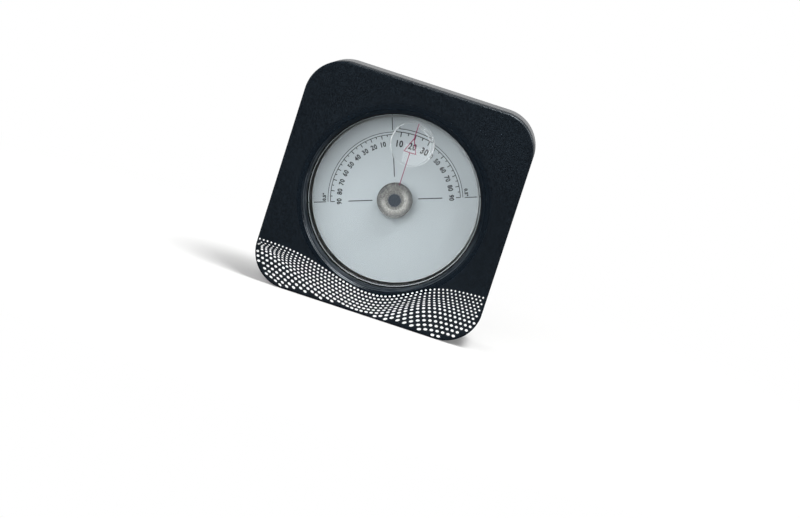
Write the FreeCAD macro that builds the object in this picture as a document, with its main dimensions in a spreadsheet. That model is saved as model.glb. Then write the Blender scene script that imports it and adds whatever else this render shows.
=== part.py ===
import FreeCAD, Part
import math
import os
import re
import Sketcher

# Free-standing inclinometer: a square moulded housing with a sealed round capsule.
# In the capsule a weighted card hangs on a pointed axle and turns as the housing tilts.
# Frame: +X to the right and +Z up as seen from the front, +Y into the housing.
# The origin is the middle of the underside. Each piece is drawn about the middle of the
# front face, so that its y is the depth behind that face, and then placed.

os.makedirs("parts", exist_ok=True)
doc = FreeCAD.newDocument("inclinometer")
sheet = doc.addObject("Spreadsheet::Sheet", "Sizes")

# Driving dimensions in millimetres and degrees.
SIZES = [
    # housing
    ("case_width", 75, "width over the two sides"),
    ("case_height", 75, "height from underside to top"),
    ("case_depth", 24, "front face to back face"),
    ("case_corner", 12, "radius of the four corners"),
    ("front_round", 0.7, "rounding of the front edge"),
    ("back_round", 1.2, "rounding of the back edge"),
    ("cover_depth", 5, "depth of the front cover at its side"),
    ("parting_bevel", 0.25, "bevel on both sides of the parting line"),
    ("cover_wall", 3.2, "front wall of the cover"),
    ("side_wall", 2.2, "side wall of cover and shell"),
    ("back_wall", 2.4, "back wall of the shell"),
    ("lip_height", 1.5, "lip of the cover that enters the shell"),
    ("lip_wall", 1.0, "thickness of that lip"),
    ("lip_gap", 0.15, "clearance round the lip"),
    # window opening in the cover
    ("face_border", 6.3, "nearest side of the housing to the dish"),
    ("dish_band", 1.9, "width of the shallow dish"),
    ("dish_depth", 0.25, "depth of the dish at the rim"),
    ("rim_step", 0.16, "each of the two small bevels that start the rim"),
    ("rim_ledge", 0.22, "level ledge between those bevels"),
    ("rim_width", 1.5, "width of the whole rim, dish to opening"),
    ("rim_depth", 1.3, "depth of the rim's inner edge"),
    ("window_recess", 2.6, "front face of the housing to the lid"),
    # screws that hold the housing together
    ("boss_radius", 3.8, "screw bosses and posts"),
    ("boss_gap", 0.6, "boss to the cover's lip, at its nearest"),
    ("hole_gap", 0.35, "clearance of the thread in a boss"),
    ("pilot_gap", 0.05, "clearance of the thread in a post"),
    ("pilot_skin", 1.5, "wall left in front of a pilot hole"),
    ("screw_sink", 6, "depth of the recess for a screw head"),
    ("sink_gap", 0.3, "clearance round the head in that recess"),
    ("screw_head", 2.4, "radius of the pan head"),
    ("screw_head_height", 1.5, "height of the pan head"),
    ("screw_head_bevel", 0.5, "bevel round the pan head"),
    ("screw_radius", 1.15, "outer radius of the thread"),
    ("screw_point", 1.0, "length of the point"),
    ("screw_end_gap", 0.3, "point to the end of the pilot hole"),
    # seat of the capsule in the shell
    ("seat_gap", 0.3, "clearance round the capsule in its seat"),
    ("seat_wall", 1.7, "wall round the capsule's flange"),
    ("seat_front_gap", 0.3, "seat wall to the cover"),
    ("rib_wall", 1.2, "thickness of the stiffening ribs"),
    ("rib_drop", 4.0, "parting line to the front edge of the ribs"),
    ("rib_root", 0.4, "how far a rib runs into its walls"),
    ("gasket_height", 0.4, "foam rings in front of and behind the capsule"),
    ("gasket_edge", 0.1, "foam ring to the edges of its seat"),
    # clear lid with its magnifier
    ("lid_wall", 2.0, "thickness of the window"),
    ("lid_gap", 0.5, "clearance of the lid in the window opening"),
    ("lid_bevel", 0.2, "bevel round the front of the lid"),
    ("flange_width", 3.3, "flange of lid and cup outside the cup's bore"),
    ("lid_flange", 2.0, "thickness of the lid's flange"),
    ("lens_margin", 1.7, "edge of the lid to the lens"),
    ("lens_radius", 6.8, "radius of the lens"),
    ("lens_edge", 0.2, "upright edge under the dome"),
    ("lens_rise", 2.15, "height of the dome above that edge"),
    ("lens_root", 0.5, "how far the dome is drawn into the lid"),
    # cup of the capsule
    ("cup_flange", 1.8, "thickness of the cup's flange"),
    ("cup_wall", 1.6, "wall and floor of the cup"),
    ("rear_room", 0.8, "rear bearing screw to the back wall of the shell"),
    ("seal_section", 0.5, "section radius of the O-ring"),
    ("seal_inset", 0.8, "bore of the cup to the O-ring's groove"),
    ("seal_side_gap", 0.1, "groove wider than the ring on each side"),
    ("boss_wall", 2.05, "wall round the rear bearing screw"),
    ("boss_front", 0.9, "boss in front of the cup's floor"),
    ("boss_back", 2.0, "boss behind the cup's floor"),
    # card and what turns with it
    ("card_place", 3.2, "lid to the front of the card"),
    ("card_wall", 0.6, "thickness of the card"),
    ("card_gap", 0.7, "card to the bore of the cup"),
    ("card_bevel", 0.12, "bevel round the front of the card"),
    ("axle_radius", 0.5, "radius of the axle"),
    ("axle_point", 0.85, "length of each point"),
    ("hub_spigot", 1.5, "radius of the spigot through the card"),
    ("hub_front", 0.6, "spigot in front of the card"),
    ("hub_flange", 3.4, "radius of the hub's flange"),
    ("hub_flange_wall", 1.2, "thickness of the flange"),
    ("hub_neck", 2.0, "radius of the neck behind the flange"),
    ("hub_neck_length", 1.0, "length of the neck"),
    ("hub_gap", 0.02, "clearance on the spigot and on the axle"),
    ("washer_radius", 2.6, "radius of the clinched washer"),
    ("washer_wall", 0.4, "thickness of the washer"),
    ("weight_edge", 2.1, "edge of the card to the counterweight"),
    ("weight_width", 10.5, "inner to outer radius of the counterweight"),
    ("weight_wall", 2.6, "thickness of the counterweight"),
    ("weight_spread", 38, "half the angle of the counterweight, in degrees"),
    ("reading", 20, "angle that the card shows at rest, in degrees"),
    # bearings
    ("bush_radius", 5.6, "bush on the back of the lid"),
    ("bush_length", 2.0, "length of the bush"),
    ("bush_step", 3.8, "radius of the raised middle of the bush"),
    ("bush_dip", 0.35, "depth of the ring round that middle"),
    ("front_cup_radius", 2.0, "front pivot cup"),
    ("front_cup_wall", 1.6, "depth of the front pivot cup"),
    ("rear_cup_radius", 0.9, "rear pivot cup"),
    ("rear_cup_wall", 0.9, "depth of the rear pivot cup"),
    ("cup_gap", 0.02, "clearance round a pivot cup"),
    ("cone_mouth", 0.45, "radius of the hollow that a point turns in"),
    ("cone_depth", 0.5, "depth of that hollow"),
    ("pivot_gap", 0.05, "end play of a point in its cup"),
    ("bearing_screw", 1.5, "radius of the rear bearing screw"),
    ("bearing_thread_gap", 0.05, "clearance of that screw in its boss and nut"),
    ("bearing_tail", 1.4, "screw behind its boss"),
    ("nut_flats", 5.5, "lock nut over its flats"),
    ("nut_wall", 1.0, "thickness of the lock nut"),
    ("slot_width", 0.5, "driver slot in a small screw"),
    ("slot_depth", 0.5, "depth of that slot"),
    # filling hole
    ("filler_edge", 4.0, "bore of the cup to the head of the filler screw"),
    ("filler_shank", 1.25, "radius of the filler screw"),
    ("filler_gap", 0.05, "clearance of that screw in the filling hole"),
    ("filler_reach", 1.4, "length of the screw in the cup's floor"),
    ("filler_head", 2.3, "radius of its head"),
    ("filler_head_height", 1.2, "height of its head"),
    ("filler_seal_radius", 2.2, "outer radius of the sealing ring"),
    ("filler_seal_height", 0.4, "thickness of the sealing ring"),
    ("filler_seal_gap", 0.1, "sealing ring to the screw"),
    # expansion membrane
    ("port_edge", 0.6, "bore of the cup to the ring of the membrane"),
    ("port_radius", 5.0, "opening under the membrane"),
    ("membrane_radius", 7.0, "outer radius of the membrane"),
    ("membrane_wall", 0.6, "thickness of the membrane"),
    ("membrane_bulge", 0.6, "height of the raised middle"),
    ("membrane_flat", 3.0, "radius of the raised middle"),
    ("membrane_slope", 4.6, "radius where the slope ends"),
    ("ring_gap", 0.1, "clearance round the membrane in its ring"),
    ("ring_wall", 1.1, "wall of the ring round the membrane"),
    ("ring_bore", 5.4, "opening of the ring"),
    ("ring_cover", 1.0, "ring behind the membrane"),
    # one overrun serves all cuts
    ("overrun", 1.0, "how far a cut runs past the face it opens"),
]

for row, (alias, value, meaning) in enumerate(SIZES, start=1):
    cell = "B%d" % row
    sheet.set("A%d" % row, alias)
    sheet.set(cell, str(value))
    sheet.set("C%d" % row, meaning)
    sheet.setAlias(cell, alias)
doc.recompute()

NAMES = {alias for alias, value, meaning in SIZES}


def cells(text):
    """The same formula with every size written as a cell of the sheet."""
    return re.sub(r"[a-z_]+", lambda m: "Sizes." + m[0] if m[0] in NAMES else m[0], text)


def value_of(text):
    """What a formula of sizes comes to now."""
    return float(sheet.evalExpression(cells(text)))


def bind(thing, name, text):
    """Tie one property or constraint to a formula of sizes."""
    thing.setExpression(name, cells(text))


# Depths behind the front face that several pieces share, as formulas of the sizes.
COVER_BACK = "cover_wall"
LID_FRONT = "window_recess"
LID_BACK = "(window_recess + lid_wall)"
LID_FLANGE_FRONT = "(cover_wall + gasket_height)"
LID_FLANGE_BACK = "(cover_wall + gasket_height + lid_flange)"
CUP_FLANGE_BACK = "(cover_wall + gasket_height + lid_flange + cup_flange)"
SEAT_FRONT = "(cover_wall + 2 * gasket_height + lid_flange + cup_flange)"
SHELL_INSIDE = "(case_depth - back_wall)"
FLOOR_BACK = "(case_depth - back_wall - rear_room - bearing_tail - boss_back)"
FLOOR_FRONT = "(case_depth - back_wall - rear_room - bearing_tail - boss_back - cup_wall)"
CARD_FRONT = "(window_recess + lid_wall + card_place)"
CARD_BACK = "(window_recess + lid_wall + card_place + card_wall)"
SCREW_SEAT = "(case_depth - screw_sink)"

# Radii of the round pieces, from the housing's nearest side inwards.
DISH_RADIUS = "(min(case_width; case_height) / 2 - face_border)"
RIM_RADIUS = "(%s - dish_band)" % DISH_RADIUS
WINDOW_RADIUS = "(%s - rim_width)" % RIM_RADIUS
LID_RADIUS = "(%s - lid_gap)" % WINDOW_RADIUS
CUP_BORE = LID_RADIUS
CUP_OUTSIDE = "(%s + cup_wall)" % CUP_BORE
FLANGE_RADIUS = "(%s + flange_width)" % CUP_BORE
SEAT_RADIUS = "(%s + seat_gap)" % FLANGE_RADIUS
SEAT_BORE = "(%s + seat_gap)" % CUP_OUTSIDE
CARD_RADIUS = "(%s - card_gap)" % CUP_BORE

# The screws stand as far into the corners as their bosses clear the cover's lip.
LIP_INSET = "(side_wall + lip_gap)"
TRAY_INSET = "(side_wall + lip_gap + lip_wall)"
SCREW_INSET = "(case_corner - (case_corner - %s - boss_radius - boss_gap) / sqrt(2))" % TRAY_INSET
SCREW_PLACE_X = "(case_width / 2 - %s)" % SCREW_INSET
SCREW_PLACE_Z = "(case_height / 2 - %s)" % SCREW_INSET


def origin_part(body, role):
    """One of a body's own origin planes or axes."""
    return next(part for part in body.Origin.OriginFeatures if part.Role == role)


def new_body(label, turned_with_card=False):
    """An empty body whose y is the depth behind the front face."""
    body = doc.addObject("PartDesign::Body", label)
    body.Label = label
    turn = FreeCAD.Rotation(FreeCAD.Vector(0, -1, 0), 1 if turned_with_card else 0)
    body.Placement = FreeCAD.Placement(FreeCAD.Vector(0, 0, 0), turn)
    bind(body, "Placement.Base.y", "-case_depth / 2")
    bind(body, "Placement.Base.z", "case_height / 2")
    if turned_with_card:
        bind(body, "Placement.Rotation.Angle", "reading * 1 deg")
    return body


def sketch_on(body, name, role, shift="0"):
    """A sketch on an origin plane, moved along the plane's normal by a formula."""
    sketch = body.newObject("Sketcher::SketchObject", body.Name + "_" + name)
    sketch.AttachmentSupport = [(origin_part(body, role), "")]
    sketch.MapMode = "FlatFace"
    if shift != "0":
        bind(sketch, "AttachmentOffset.Base.z", shift)
    return sketch


def sketch_at_depth(body, name, depth="0"):
    """A sketch facing the front at a depth behind the front face."""
    return sketch_on(body, name, "XZ_Plane", "0" if depth == "0" else "-" + depth)


def hold(sketch, element, point, across, along):
    """Fix one point of a sketch at two formulas, measured from the sketch's origin."""
    places = (("DistanceX", across, -2), ("DistanceY", along, -1))
    for kind, text, axis in places:
        if text == "0":
            sketch.addConstraint(Sketcher.Constraint("PointOnObject", element, point, axis))
            continue
        place = Sketcher.Constraint(kind, -1, 1, element, point, value_of(text))
        number = sketch.addConstraint(place)
        bind(sketch, "Constraints[%d]" % number, text)


def outline(sketch, corners):
    """A closed outline of straight sides through corners given as formulas."""
    points = [FreeCAD.Vector(value_of(across), value_of(along), 0) for across, along in corners]
    first = sketch.GeometryCount
    count = len(points)
    for index in range(count):
        sketch.addGeometry(Part.LineSegment(points[index], points[(index + 1) % count]))
    for index, (across, along) in enumerate(corners):
        before = first + (index - 1) % count
        sketch.addConstraint(Sketcher.Constraint("Coincident", before, 2, first + index, 1))
        hold(sketch, first + index, 1, across, along)


def circle(sketch, radius, across="0", along="0"):
    """A circle with its radius and its middle given as formulas."""
    middle = FreeCAD.Vector(value_of(across), value_of(along), 0)
    number = sketch.addGeometry(Part.Circle(middle, FreeCAD.Vector(0, 0, 1), value_of(radius)))
    size = sketch.addConstraint(Sketcher.Constraint("Radius", number, value_of(radius)))
    bind(sketch, "Constraints[%d]" % size, radius)
    if across == "0" and along == "0":
        sketch.addConstraint(Sketcher.Constraint("Coincident", number, 3, -1, 1))
    else:
        hold(sketch, number, 3, across, along)


def rounded_outline(sketch, width, height, corner):
    """A rectangle with rounded corners about the sketch's origin."""
    half_x, half_z, radius = value_of(width) / 2, value_of(height) / 2, value_of(corner)
    quarter = math.radians(90)
    first = sketch.GeometryCount
    middles = [(1, 1), (-1, 1), (-1, -1), (1, -1)]
    arcs = []
    for index, (side_x, side_z) in enumerate(middles):
        middle = FreeCAD.Vector(side_x * (half_x - radius), side_z * (half_z - radius), 0)
        whole = Part.Circle(middle, FreeCAD.Vector(0, 0, 1), radius)
        arc = Part.ArcOfCircle(whole, index * quarter, (index + 1) * quarter)
        arcs.append(arc)
        sketch.addGeometry(arc)
    for index in range(len(arcs)):
        start = arcs[index].EndPoint
        end = arcs[(index + 1) % len(arcs)].StartPoint
        sketch.addGeometry(Part.LineSegment(start, end))
    for index in range(len(arcs)):
        arc, line = first + index, first + len(arcs) + index
        following = first + (index + 1) % len(arcs)
        sketch.addConstraint(Sketcher.Constraint("Tangent", arc, 2, line, 1))
        sketch.addConstraint(Sketcher.Constraint("Tangent", line, 2, following, 1))
        level = "Horizontal" if index % 2 == 0 else "Vertical"
        sketch.addConstraint(Sketcher.Constraint(level, line))
        if index:
            sketch.addConstraint(Sketcher.Constraint("Equal", first, arc))
    size = sketch.addConstraint(Sketcher.Constraint("Radius", first, radius))
    bind(sketch, "Constraints[%d]" % size, corner)
    hold(sketch, first, 3, "%s / 2 - (%s)" % (width, corner), "%s / 2 - (%s)" % (height, corner))
    opposite = Sketcher.Constraint("Symmetric", first, 3, first + 2, 3, -1, 1)
    sketch.addConstraint(opposite)


def deepen(body, name, sketch, length):
    """Add material from a sketch towards the back."""
    pad = body.newObject("PartDesign::Pad", body.Name + "_" + name)
    pad.Profile = sketch
    pad.Reversed = True
    bind(pad, "Length", length)
    doc.recompute()
    return pad


def cut(body, name, sketch, length, towards_front=False):
    """Cut from a sketch towards the back, or towards the front."""
    before = body.Shape.Volume
    pocket = body.newObject("PartDesign::Pocket", body.Name + "_" + name)
    pocket.Profile = sketch
    pocket.Reversed = towards_front
    bind(pocket, "Length", length)
    doc.recompute()
    if pocket.Shape.isNull() or not pocket.Shape.Volume < before:
        raise RuntimeError(pocket.Name + " cuts nothing")
    return pocket


def corner_circles(sketch, radius):
    """A circle at each of the housing's four screws."""
    for side_x in ("", "-"):
        for side_z in ("", "-"):
            circle(sketch, radius, side_x + SCREW_PLACE_X, side_z + SCREW_PLACE_Z)


def and_opposite(body, feature, name):
    """Repeat a feature half a turn round the axis of the housing."""
    pattern = body.newObject("PartDesign::PolarPattern", body.Name + "_" + name)
    pattern.Originals = [feature]
    pattern.Axis = (origin_part(body, "Y_Axis"), [""])
    pattern.Angle = 360
    pattern.Occurrences = 2
    body.Tip = pattern
    doc.recompute()


def turn(body, name, corners, kind="PartDesign::Revolution", off_axis=None):
    """Revolve an outline of (radius, depth) corners about the housing's axis.

    off_axis is the (x, z) place of a parallel axis, for a small round piece beside it.
    """
    shift_x, shift_z = off_axis or ("0", "0")
    sketch = sketch_on(body, name + "_outline", "XY_Plane", shift_z)
    if shift_x != "0":
        bind(sketch, "AttachmentOffset.Base.x", shift_x)
    outline(sketch, corners)
    before = body.Shape.Volume if body.Tip else 0
    feature = body.newObject(kind, body.Name + "_" + name)
    feature.Profile = sketch
    feature.ReferenceAxis = (sketch, ["V_Axis"])
    feature.Angle = 360
    doc.recompute()
    if kind == "PartDesign::Groove" and not feature.Shape.Volume < before:
        raise RuntimeError(feature.Name + " cuts nothing")
    return feature


def outline_edges(feature, depth):
    """Names of the edges at one depth that follow the housing's outer outline."""
    near = value_of("overrun") / 1000
    where, corner = value_of(depth), value_of("case_corner")
    straight_x = value_of("case_width") / 2 - corner
    straight_z = value_of("case_height") / 2 - corner
    names = []
    for index, edge in enumerate(feature.Shape.Edges, start=1):
        middle = edge.valueAt((edge.FirstParameter + edge.LastParameter) / 2)
        past_x = max(abs(middle.x) - straight_x, 0)
        past_z = max(abs(middle.z) - straight_z, 0)
        on_outline = abs(math.hypot(past_x, past_z) - corner) < near
        if on_outline and abs(middle.y - where) < near:
            names.append("Edge%d" % index)
    return names


def dress(body, name, kind, feature, depth, size):
    """Round or bevel the outer edge of the housing at one depth."""
    made = body.newObject("PartDesign::" + kind, body.Name + "_" + name)
    made.Base = (feature, outline_edges(feature, depth))
    bind(made, "Radius" if kind == "Fillet" else "Size", size)
    doc.recompute()
    return made


# Front cover: a moulded tray of black plastic with a dished round window, a lip that
# enters the shell, and four posts that the housing's screws bite into.
cover = new_body("front_cover")
face = sketch_at_depth(cover, "face")
rounded_outline(face, "case_width", "case_height", "case_corner")
deepen(cover, "block", face, "cover_depth")

lip = sketch_at_depth(cover, "lip", "cover_depth")
rounded_outline(lip, "(case_width - 2 * %s)" % LIP_INSET, "(case_height - 2 * %s)" % LIP_INSET,
                "(case_corner - %s)" % LIP_INSET)
deepen(cover, "lip_block", lip, "lip_height")

tray = sketch_at_depth(cover, "tray", "(cover_depth + lip_height)")
rounded_outline(tray, "(case_width - 2 * %s)" % TRAY_INSET,
                "(case_height - 2 * %s)" % TRAY_INSET, "(case_corner - %s)" % TRAY_INSET)
cut(cover, "tray_cut", tray, "(cover_depth + lip_height - cover_wall)", towards_front=True)

posts = sketch_at_depth(cover, "posts", COVER_BACK)
corner_circles(posts, "boss_radius")
deepen(cover, "posts_pad", posts, "(cover_depth - cover_wall)")

pilots = sketch_at_depth(cover, "pilots", "pilot_skin")
corner_circles(pilots, "(screw_radius + pilot_gap)")
cut(cover, "pilots_cut", pilots, "(cover_depth + overrun - pilot_skin)")

# The opening starts as a shallow dish, goes down two fine bevels with a ledge between
# them, then slopes to the round hole that the capsule's lid stands in.
window = turn(cover, "window", [
    ("0", "-overrun"), (DISH_RADIUS, "-overrun"), (DISH_RADIUS, "0"),
    (RIM_RADIUS, "dish_depth"),
    ("%s - rim_step" % RIM_RADIUS, "dish_depth + rim_step"),
    ("%s - rim_step - rim_ledge" % RIM_RADIUS, "dish_depth + rim_step"),
    ("%s - 2 * rim_step - rim_ledge" % RIM_RADIUS, "dish_depth + 2 * rim_step"),
    (WINDOW_RADIUS, "rim_depth"),
    (WINDOW_RADIUS, "cover_wall + overrun"), ("0", "cover_wall + overrun")],
    kind="PartDesign::Groove")
rounded = dress(cover, "front_edge", "Fillet", window, "0", "front_round")
dress(cover, "parting_edge", "Chamfer", rounded, "cover_depth", "parting_bevel")

# Housing shell: the deep rear moulding. A stepped round seat holds the capsule, four
# hollow bosses take the screws from behind, and ribs tie seat, bosses and sides together.
shell = new_body("housing_shell")
shell_face = sketch_at_depth(shell, "face", "cover_depth")
rounded_outline(shell_face, "case_width", "case_height", "case_corner")
deepen(shell, "block", shell_face, "(case_depth - cover_depth)")
hollow = sketch_at_depth(shell, "hollow", "cover_depth")
rounded_outline(hollow, "(case_width - 2 * side_wall)", "(case_height - 2 * side_wall)",
                "(case_corner - side_wall)")
cut(shell, "hollow_cut", hollow, "(case_depth - cover_depth - back_wall)")

RIB_FRONT = "(cover_depth + rib_drop)"
RIB_LENGTH = "(case_depth - back_wall - cover_depth - rib_drop + rib_root)"
RIB_START = "(%s + seat_wall - rib_root)" % SEAT_RADIUS
ribs = sketch_at_depth(shell, "ribs", RIB_FRONT)
for side in ("", "-"):
    side_end = side + "(case_width / 2 - side_wall + rib_root)"
    outline(ribs, [
        (side + RIB_START, "-rib_wall / 2"), (side_end, "-rib_wall / 2"),
        (side_end, "rib_wall / 2"), (side + RIB_START, "rib_wall / 2")])
    level_end = side + "(case_height / 2 - side_wall + rib_root)"
    outline(ribs, [
        ("-rib_wall / 2", side + RIB_START), ("-rib_wall / 2", level_end),
        ("rib_wall / 2", level_end), ("rib_wall / 2", side + RIB_START)])
deepen(shell, "ribs_pad", ribs, RIB_LENGTH)

bosses = sketch_at_depth(shell, "bosses", "cover_depth")
corner_circles(bosses, "boss_radius")
deepen(shell, "bosses_pad", bosses, "(case_depth - back_wall - cover_depth + rib_root)")

turn(shell, "seat", [
    (SEAT_BORE, "%s + rib_root" % SHELL_INSIDE), (SEAT_BORE, SEAT_FRONT),
    (SEAT_RADIUS, SEAT_FRONT), (SEAT_RADIUS, "cover_wall + seat_front_gap"),
    ("%s + seat_wall" % SEAT_RADIUS, "cover_wall + seat_front_gap"),
    ("%s + seat_wall" % SEAT_RADIUS, "%s + rib_root" % SHELL_INSIDE)])

holes = sketch_at_depth(shell, "holes", "cover_depth")
corner_circles(holes, "(screw_radius + hole_gap)")
cut(shell, "holes_cut", holes, "(case_depth - cover_depth + overrun)")
sinks = sketch_at_depth(shell, "sinks", SCREW_SEAT)
corner_circles(sinks, "(screw_head + sink_gap)")
sinks_cut = cut(shell, "sinks_cut", sinks, "(screw_sink + overrun)")

backed = dress(shell, "back_edge", "Fillet", sinks_cut, "case_depth", "back_round")
dress(shell, "parting_edge", "Chamfer", backed, "cover_depth", "parting_bevel")

# Housing screws: four pan-head screws, put in from behind, that draw cover and shell
# together. They are one node of four solids.
screws = new_body("housing_screws")
SCREW_END = "(pilot_skin + screw_end_gap)"
SCREW_PROFILE = [
    ("0", SCREW_END), ("screw_radius", "%s + screw_point" % SCREW_END),
    ("screw_radius", SCREW_SEAT), ("screw_head", SCREW_SEAT),
    ("screw_head", "%s + screw_head_height - screw_head_bevel" % SCREW_SEAT),
    ("screw_head - screw_head_bevel", "%s + screw_head_height" % SCREW_SEAT),
    ("0", "%s + screw_head_height" % SCREW_SEAT)]
for corner_name, side in (("right", ""), ("left", "-")):
    upper = turn(screws, corner_name, SCREW_PROFILE,
                 off_axis=(side + SCREW_PLACE_X, SCREW_PLACE_Z))
    and_opposite(screws, upper, corner_name + "_and_opposite")

# Foam rings: one between cover and lid, one between the cup's flange and its seat.
front_foam = new_body("capsule_gasket")
turn(front_foam, "ring", [
    ("%s + gasket_edge" % WINDOW_RADIUS, COVER_BACK),
    ("%s - gasket_edge" % FLANGE_RADIUS, COVER_BACK),
    ("%s - gasket_edge" % FLANGE_RADIUS, LID_FLANGE_FRONT),
    ("%s + gasket_edge" % WINDOW_RADIUS, LID_FLANGE_FRONT)])
rear_foam = new_body("seat_gasket")
turn(rear_foam, "ring", [
    ("%s + gasket_edge" % SEAT_BORE, CUP_FLANGE_BACK),
    ("%s - gasket_edge" % FLANGE_RADIUS, CUP_FLANGE_BACK),
    ("%s - gasket_edge" % FLANGE_RADIUS, SEAT_FRONT),
    ("%s + gasket_edge" % SEAT_BORE, SEAT_FRONT)])

# Capsule lid: one clear moulding, a window that stands in the cover's opening and a
# flange behind it, with a domed magnifier over the top of the scale.
lid = new_body("capsule_lid")
turn(lid, "window", [
    ("0", LID_FRONT), ("%s - lid_bevel" % LID_RADIUS, LID_FRONT),
    (LID_RADIUS, "%s + lid_bevel" % LID_FRONT), (LID_RADIUS, LID_FLANGE_FRONT),
    (FLANGE_RADIUS, LID_FLANGE_FRONT), (FLANGE_RADIUS, LID_FLANGE_BACK),
    (CUP_BORE, LID_FLANGE_BACK), (CUP_BORE, LID_BACK), ("0", LID_BACK)])
DOME_FOOT = "(window_recess - lens_edge)"
DOME_RADIUS = "((lens_radius * lens_radius + lens_rise * lens_rise) / (2 * lens_rise))"
LENS_PLACE = "(%s - lens_margin - lens_radius)" % LID_RADIUS
dome = sketch_on(lid, "dome", "YZ_Plane")
corners = {
    "root_middle": ("%s + lens_root" % LID_FRONT, LENS_PLACE),
    "root_edge": ("%s + lens_root" % LID_FRONT, "%s + lens_radius" % LENS_PLACE),
    "foot": (DOME_FOOT, "%s + lens_radius" % LENS_PLACE),
    "top": ("%s - lens_rise" % DOME_FOOT, LENS_PLACE),
    "middle": ("%s - lens_rise + %s" % (DOME_FOOT, DOME_RADIUS), LENS_PLACE),
}
spot = {key: FreeCAD.Vector(value_of(across), value_of(along), 0)
        for key, (across, along) in corners.items()}
sphere = Part.Circle(spot["middle"], FreeCAD.Vector(0, 0, 1), value_of(DOME_RADIUS))
dome.addGeometry(Part.LineSegment(spot["top"], spot["root_middle"]))
dome.addGeometry(Part.LineSegment(spot["root_middle"], spot["root_edge"]))
dome.addGeometry(Part.LineSegment(spot["root_edge"], spot["foot"]))
dome.addGeometry(Part.ArcOfCircle(sphere, sphere.parameter(spot["foot"]),
                                  sphere.parameter(spot["top"])))
for before, after in ((0, 1), (1, 2), (2, 3), (3, 0)):
    dome.addConstraint(Sketcher.Constraint("Coincident", before, 2, after, 1))
for element, point, key in ((0, 1, "top"), (1, 1, "root_middle"), (2, 1, "root_edge"),
                            (2, 2, "foot")):
    hold(dome, element, point, *corners[key])
dome.addConstraint(Sketcher.Constraint("PointOnObject", 3, 3, 0))
magnifier = lid.newObject("PartDesign::Revolution", "capsule_lid_magnifier")
magnifier.Profile = dome
dome_axis = dome.addGeometry(Part.LineSegment(spot["top"], spot["middle"]), True)
dome.addConstraint(Sketcher.Constraint("Coincident", dome_axis, 1, 0, 1))
dome.addConstraint(Sketcher.Constraint("Coincident", dome_axis, 2, 3, 3))
magnifier.ReferenceAxis = (dome, ["Axis0"])
magnifier.Angle = 360
doc.recompute()

# O-ring between lid and cup. The capsule is filled with a clear liquid that steadies
# the card, so that every joint of the capsule is sealed.
SEAL_RADIUS = "(%s + seal_inset + seal_side_gap + seal_section)" % CUP_BORE
seal = doc.addObject("Part::Torus", "lid_seal")
seal.Label = "lid_seal"
bind(seal, "Radius1", SEAL_RADIUS)
bind(seal, "Radius2", "seal_section")
seal.Placement = FreeCAD.Placement(FreeCAD.Vector(0, 0, 0),
                                   FreeCAD.Rotation(FreeCAD.Vector(1, 0, 0), 90))
bind(seal, "Placement.Base.y", "%s + seal_section - case_depth / 2" % LID_FLANGE_BACK)
bind(seal, "Placement.Base.z", "case_height / 2")

# Capsule cup: pale moulding with a flange, a groove for the O-ring, a threaded boss for
# the rear bearing, a filling hole above it and an opening under the membrane below it.
cup = new_body("capsule_cup")
BOSS_BORE = "(bearing_screw + bearing_thread_gap)"
BOSS_RADIUS = "(bearing_screw + bearing_thread_gap + boss_wall)"
GROOVE_IN = "(%s + seal_inset)" % CUP_BORE
GROOVE_OUT = "(%s + seal_inset + 2 * seal_side_gap + 2 * seal_section)" % CUP_BORE
BOSS_BACK = "(%s + boss_back)" % FLOOR_BACK
turn(cup, "wall", [
    (BOSS_BORE, "%s - boss_front" % FLOOR_FRONT), (BOSS_RADIUS, "%s - boss_front" % FLOOR_FRONT),
    (BOSS_RADIUS, FLOOR_FRONT), (CUP_BORE, FLOOR_FRONT), (CUP_BORE, LID_FLANGE_BACK),
    (GROOVE_IN, LID_FLANGE_BACK), (GROOVE_IN, "%s + 2 * seal_section" % LID_FLANGE_BACK),
    (GROOVE_OUT, "%s + 2 * seal_section" % LID_FLANGE_BACK), (GROOVE_OUT, LID_FLANGE_BACK),
    (FLANGE_RADIUS, LID_FLANGE_BACK), (FLANGE_RADIUS, CUP_FLANGE_BACK),
    (CUP_OUTSIDE, CUP_FLANGE_BACK), (CUP_OUTSIDE, FLOOR_BACK), (BOSS_RADIUS, FLOOR_BACK),
    (BOSS_RADIUS, BOSS_BACK), (BOSS_BORE, BOSS_BACK)])
FILLER_PLACE = "(%s - filler_edge - filler_head)" % CUP_BORE
RING_OUTSIDE = "(membrane_radius + ring_gap + ring_wall)"
PORT_PLACE = "(%s - port_edge - %s)" % (CUP_BORE, RING_OUTSIDE)
ports = sketch_at_depth(cup, "ports", "(%s - overrun)" % FLOOR_FRONT)
circle(ports, "(filler_shank + filler_gap)", "0", FILLER_PLACE)
circle(ports, "port_radius", "0", "-" + PORT_PLACE)
cut(cup, "ports_cut", ports, "(cup_wall + 2 * overrun)")

# Front bearing: a round bush cemented to the back of the lid, with a dished ring round
# its middle, and the hard cup that the front point of the axle turns in.
FRONT_CUP_BACK = "(%s + front_cup_wall)" % LID_BACK
bush = new_body("front_bearing_bush")
turn(bush, "ring", [
    ("front_cup_radius + cup_gap", LID_BACK), ("bush_step", LID_BACK),
    ("bush_step", "%s + bush_dip" % LID_BACK), ("bush_radius - bush_dip", "%s + bush_dip" % LID_BACK),
    ("bush_radius", LID_BACK), ("bush_radius", "%s + bush_length" % LID_BACK),
    ("front_cup_radius + cup_gap", "%s + bush_length" % LID_BACK)])
front_cup = new_body("front_pivot_cup")
turn(front_cup, "cup", [
    ("0", LID_BACK), ("front_cup_radius", LID_BACK), ("front_cup_radius", FRONT_CUP_BACK),
    ("cone_mouth", FRONT_CUP_BACK), ("0", "%s - cone_depth" % FRONT_CUP_BACK)])

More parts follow.
